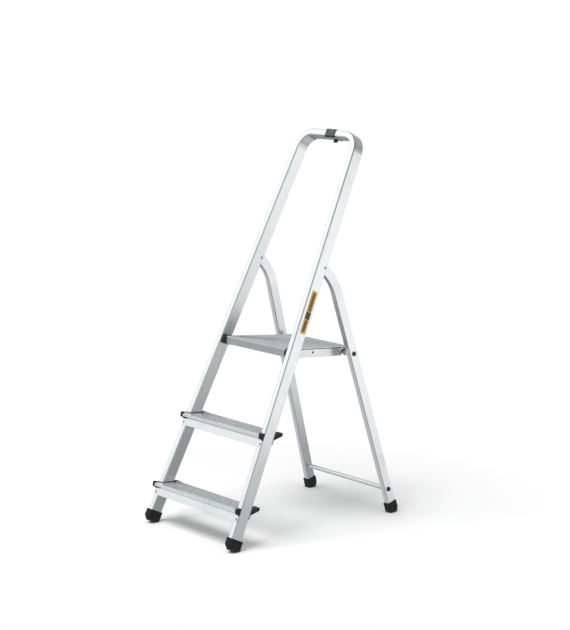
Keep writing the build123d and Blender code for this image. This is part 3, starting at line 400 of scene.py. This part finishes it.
def label_vinyl():
    """Amber film with plain dark bars either side of a dark square, and thin rules; slightly faded."""
    finish, spot = new_finish("amber_label_vinyl")
    sheet = spot.node("UVMap", {"uv_map": "sheet"}, {})
    u, v, _ = sheet.axes()
    along, across = abs(u - 0.5), abs(v - 0.5)
    square_off = abs(u - 0.42)
    fibre = spot.noise(0.0016, 3.0)
    fade = spot.noise(0.045, 3.0)
    amber = (fade * 0.7 + fibre * 0.3).mix((0.62, 0.33, 0.030, 1.0), (0.76, 0.43, 0.060, 1.0))
    ink = (fade * 0.5 + fibre * 0.5).mix((0.020, 0.018, 0.016, 1.0), (0.045, 0.040, 0.034, 1.0))
    bars = along.step(0.455, 0.450) * across.step(0.29, 0.27) * square_off.step(0.100, 0.105)
    square = square_off.step(0.085, 0.080) * across.step(0.44, 0.42)
    rule = abs(across - 0.455).step(0.030, 0.018)
    rim = along.step(0.490, 0.497)
    colour = (bars * 0.82).least(square * 0.96).least(rule * 0.70).mix(amber, ink)
    colour = (rim * 0.35).mix(colour, (0.80, 0.70, 0.46, 1.0))
    return coat(finish, {"Base Color": colour, "Roughness": 0.40 + fade * 0.12 + fibre * 0.06,
                         "Coat Weight": 0.06 + fade * 0.10, "Coat Roughness": 0.18,
                         "Normal": bump(fibre + fade * 2.0, face_way(spot), 0.00012, 0.4)})


frame_finish = frame_aluminium()
leg_finish = leg_aluminium()
tread_finish = tread_aluminium()
deck_finish = deck_aluminium()
side_finish = side_aluminium()
bar_finish = bar_zinc()
hook_finish = hook_steel()
rivet_finish = rivet_metal("dark_rivet_metal", 0.16, 0.30)
pale_rivet_finish = rivet_metal("pale_rivet_metal", 0.58, 0.74)
plastic_finish = moulded_plastic("moulded_black_plastic", 0.010, 0.022, 0.075)
clip_finish = clip_plastic()
rubber_finish = black_rubber()

finish_of = {
    "front_hoop": frame_finish, "rear_leg": leg_finish,
    "lower_tread": tread_finish, "upper_tread": tread_finish,
    "platform_deck": deck_finish, "platform_side": side_finish, "platform_hook": hook_finish,
    "platform_bar": bar_finish, "lower_bar": bar_finish, "platform_tie_rod": bar_finish,
    "lower_tie_rod": bar_finish, "bar_washers": rivet_finish,
    "tread_front_rivets": pale_rivet_finish, "tread_rear_rivets": pale_rivet_finish,
    "leg_rivet": pale_rivet_finish,
    "platform_pin": rivet_finish, "platform_rivets": rivet_finish,
    "hoop_clip": clip_finish, "lower_tread_cap": plastic_finish, "upper_tread_cap": plastic_finish,
    "platform_bush": plastic_finish, "hook_liner": plastic_finish, "bar_caps": plastic_finish,
    "front_foot": rubber_finish, "rear_foot": rubber_finish,
}

for name, piece in parts.items():
    stem = name.removesuffix("_left").removesuffix("_right")
    piece.data.materials.clear()
    piece.data.materials.append(finish_of[stem])


def stile_point(along, deep, side_gap):
    """Point on the right stile's outer face, lifted off it by side_gap."""
    lean = math.radians(FRONT_LEAN)
    return Vector((STILE_HALF_SPREAD - STILE_TAPER * along + side_gap,
                   FLOOR_LINE + along * math.sin(lean) + deep * math.cos(lean),
                   along * math.cos(lean) - deep * math.sin(lean)))


def label():
    """Thin film with rounded corners on the right stile."""
    low, high = LABEL_ALONG
    front, rear = LABEL_DEEP
    inner_low, inner_high = low + LABEL_CORNER, high - LABEL_CORNER
    inner_front, inner_rear = front + LABEL_CORNER, rear - LABEL_CORNER
    ring = []
    for along, deep, start in ((inner_high, inner_rear, 0), (inner_low, inner_rear, 90),
                               (inner_low, inner_front, 180), (inner_high, inner_front, 270)):
        for turn in range(0, 91, 15):
            angle = math.radians(start + turn)
            ring.append((along + LABEL_CORNER * math.cos(angle), deep + LABEL_CORNER * math.sin(angle)))
    mesh = bmesh.new()
    uv = mesh.loops.layers.uv.new("sheet")
    top = [mesh.verts.new(stile_point(a, d, LABEL_FILM)) for a, d in ring]
    foot = [mesh.verts.new(stile_point(a, d, 0.0)) for a, d in ring]
    faces = [mesh.faces.new(top), mesh.faces.new(foot[::-1])]
    for i in range(len(ring)):
        j = (i + 1) % len(ring)
        faces.append(mesh.faces.new((top[j], top[i], foot[i], foot[j])))
    place = {v: ring[i] for i, v in enumerate(top)} | {v: ring[i] for i, v in enumerate(foot)}
    for face in faces:
        for loop in face.loops:
            a, d = place[loop.vert]
            loop[uv].uv = ((a - low) / (high - low), (d - front) / (rear - front))
    bmesh.ops.recalc_face_normals(mesh, faces=mesh.faces)
    data = bpy.data.meshes.new("stile_label")
    mesh.to_mesh(data)
    mesh.free()
    piece = bpy.data.objects.new("stile_label", data)
    bpy.context.scene.collection.objects.link(piece)
    data.materials.append(label_vinyl())
    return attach(piece, "front_frame")


label()


def studio_floor():
    """Pale round floor that runs out into the white of the studio."""
    mesh = bmesh.new()
    bmesh.ops.create_circle(mesh, cap_ends=True, segments=96, radius=FLOOR_RADIUS)
    data = bpy.data.meshes.new("studio_floor")
    mesh.to_mesh(data)
    mesh.free()
    floor = bpy.data.objects.new("studio_floor", data)
    bpy.context.scene.collection.objects.link(floor)
    finish, spot = new_finish("pale_studio_floor")
    tree = finish.node_tree
    away = spot.node("VectorMath", {"operation": "LENGTH"}, {0: spot}, 1)
    speck = spot.noise(0.02, 3.0)
    coat(finish, {"Base Color": speck.mix((0.86, 0.86, 0.86, 1.0), (0.88, 0.88, 0.88, 1.0)),
                  "Roughness": 0.7 + speck * 0.1, "Specular IOR Level": 0.1})
    lit = Wire(tree, tree.nodes["Principled BSDF"].outputs[0])
    paper = spot.node("Emission", {}, {"Color": PAPER_WHITE, "Strength": 1.0})
    shown = spot.node("MixShader", {}, {0: away.step(0.60, 1.10), 1: lit, 2: paper})
    tree.links.new(shown.socket, tree.nodes["Material Output"].inputs[0])
    data.materials.append(finish)
    floor.visible_glossy = False


# Soft patches in the mirrored air: direction, degrees where each fades out and is full, added brightness
SOFT_PATCHES = (
    # mirrored by stile fronts and aprons, leg fronts, platform front, nosings
    ((-0.72, -0.42, 0.56), 34, 7, 1.06),
    ((-0.74, -0.40, -0.55), 32, 14, 0.34),
    ((-0.75, -0.66, 0.0), 20, 8, 0.29),
    ((-0.75, -0.60, -0.24), 14, 5, 0.34),
    # mirrored by the right stile's outside, and by the treads and the deck
    ((0.73, 0.68, -0.05), 16, 6, 0.25),
    ((0.71, 0.69, -0.15), 10, 4, 0.30),
    ((-0.75, 0.66, 0.06), 40, 12, 0.12),
    # mirrored towards the other sides
    ((0.70, -0.62, 0.25), 40, 15, 0.12),
    ((0.66, -0.74, -0.18), 18, 8, 0.28),
    ((1.0, 0.05, -0.05), 32, 14, 0.25),
    ((0.0, -1.0, 0.20), 40, 20, 0.40),
    ((-1.0, 0.0, 0.0), 28, 12, 0.25),
    ((0.0, 1.0, 0.0), 36, 16, 0.35),
    ((0.0, 0.0, 1.0), 55, 25, 0.08),
)


def studio_air():
    """White behind the ladder; soft panels and darker gaps for the metal to mirror."""
    air = bpy.data.worlds.new("studio_air")
    bpy.context.scene.world = air
    air.use_nodes = True
    tree = air.node_tree
    wire = Wire(tree)
    way = wire.node("TexCoord", {}, {}, 0)
    x, _, z = way.axes()

    def facing(direction, wide, narrow):
        """1 inside narrow degrees of a direction, 0 beyond wide."""
        aim = Vector(direction).normalized()
        near = way.node("VectorMath", {"operation": "DOT_PRODUCT"}, {0: way, 1: aim}, 1)
        return near.step(math.cos(math.radians(wide)), math.cos(math.radians(narrow)))

    high = z.step(0.10, 0.60) * -0.07
    low = z.step(-0.62, -0.85) * (x.step(-0.45, -0.15) * 0.45 - 0.15)
    nosing_panel = facing((-0.75, 0.62, 0.25), 30, 15) * z.step(0.16, 0.30) * 0.62
    glow = 0.265 + high + low + nosing_panel
    for direction, wide, narrow, brightness in SOFT_PATCHES:
        glow = glow + facing(direction, wide, narrow) * brightness
    mirrored = wire.node("Background", {}, {"Color": (0.94, 0.985, 1.0, 1.0), "Strength": glow})
    fill = wire.node("Background", {}, {"Color": PAPER_WHITE, "Strength": 0.60})
    white = wire.node("Background", {}, {"Color": PAPER_WHITE, "Strength": 1.0})
    seen = wire.node("LightPath", {}, {}, 0)
    soft = wire.node("LightPath", {}, {}, 2)
    lit = wire.node("MixShader", {}, {0: soft, 1: mirrored, 2: fill})
    shown = wire.node("MixShader", {}, {0: seen, 1: lit, 2: white})
    tree.links.new(shown.socket, tree.nodes["World Output"].inputs[0])


# Panels beside the ladder: name, place, aimed at, width and height in metres, watts
SIDE_PANELS = (
    ("high_side_panel", (1.20, 1.02, 0.885), (0.0, 0.0, 0.885), 2.4, 0.87, 3.15),
    ("leg_side_panel", (0.899, 1.374, -0.10), (0.137, 0.726, -0.10), 0.87, 0.30, 0.36),
    ("low_side_panel", (1.20, 1.02, 0.25), (0.0, 0.0, 0.25), 2.4, 0.40, 1.35),
    ("far_high_panel", (-1.20, 1.02, 1.25), (0.0, 0.0, 1.25), 2.4, 0.50, 1.50),
    ("far_low_panel", (-1.20, 1.02, -0.10), (0.0, 0.0, -0.10), 2.4, 0.35, 0.80),
)


def softbox(name, at, aim, wide, high, watts):
    """Rectangular soft light that the camera itself doesn't see."""
    lamp = bpy.data.lights.new(name, "AREA")
    lamp.shape = "RECTANGLE"
    lamp.size = wide
    lamp.size_y = high
    lamp.energy = watts
    box = bpy.data.objects.new(name, lamp)
    bpy.context.scene.collection.objects.link(box)
    box.location = at
    box.rotation_euler = (Vector(aim) - Vector(at)).to_track_quat("-Z", "Y").to_euler()
    box.visible_camera = False
    return box


studio_floor()
studio_air()
overhead = softbox("overhead_softbox", (0.0, -1.25, 3.4), (0.0, 0.0, 0.0), 1.7, 1.7, 88.0)
overhead.visible_glossy = False
for side_panel in SIDE_PANELS:
    softbox(*side_panel)

bpy.context.scene.view_settings.view_transform = "Standard"


def photo_camera():
    """Camera turned by EYE_SWING about the ladder and dipped by EYE_DIP."""
    swing, dip = math.radians(EYE_SWING), math.radians(EYE_DIP)
    right = Vector((math.cos(swing), math.sin(swing), 0.0))
    ahead = Vector((-math.sin(swing) * math.cos(dip), math.cos(swing) * math.cos(dip), -math.sin(dip)))
    turned = Matrix((right, right.cross(ahead), -ahead)).transposed().to_4x4()
    eye = bpy.data.cameras.new("ladder_camera")
    eye.lens = EYE_LENS
    eye.sensor_width = EYE_SENSOR
    camera = bpy.data.objects.new("ladder_camera", eye)
    bpy.context.scene.collection.objects.link(camera)
    camera.matrix_world = Matrix.Translation(EYE_AT) @ turned
    bpy.context.scene.camera = camera


photo_camera()
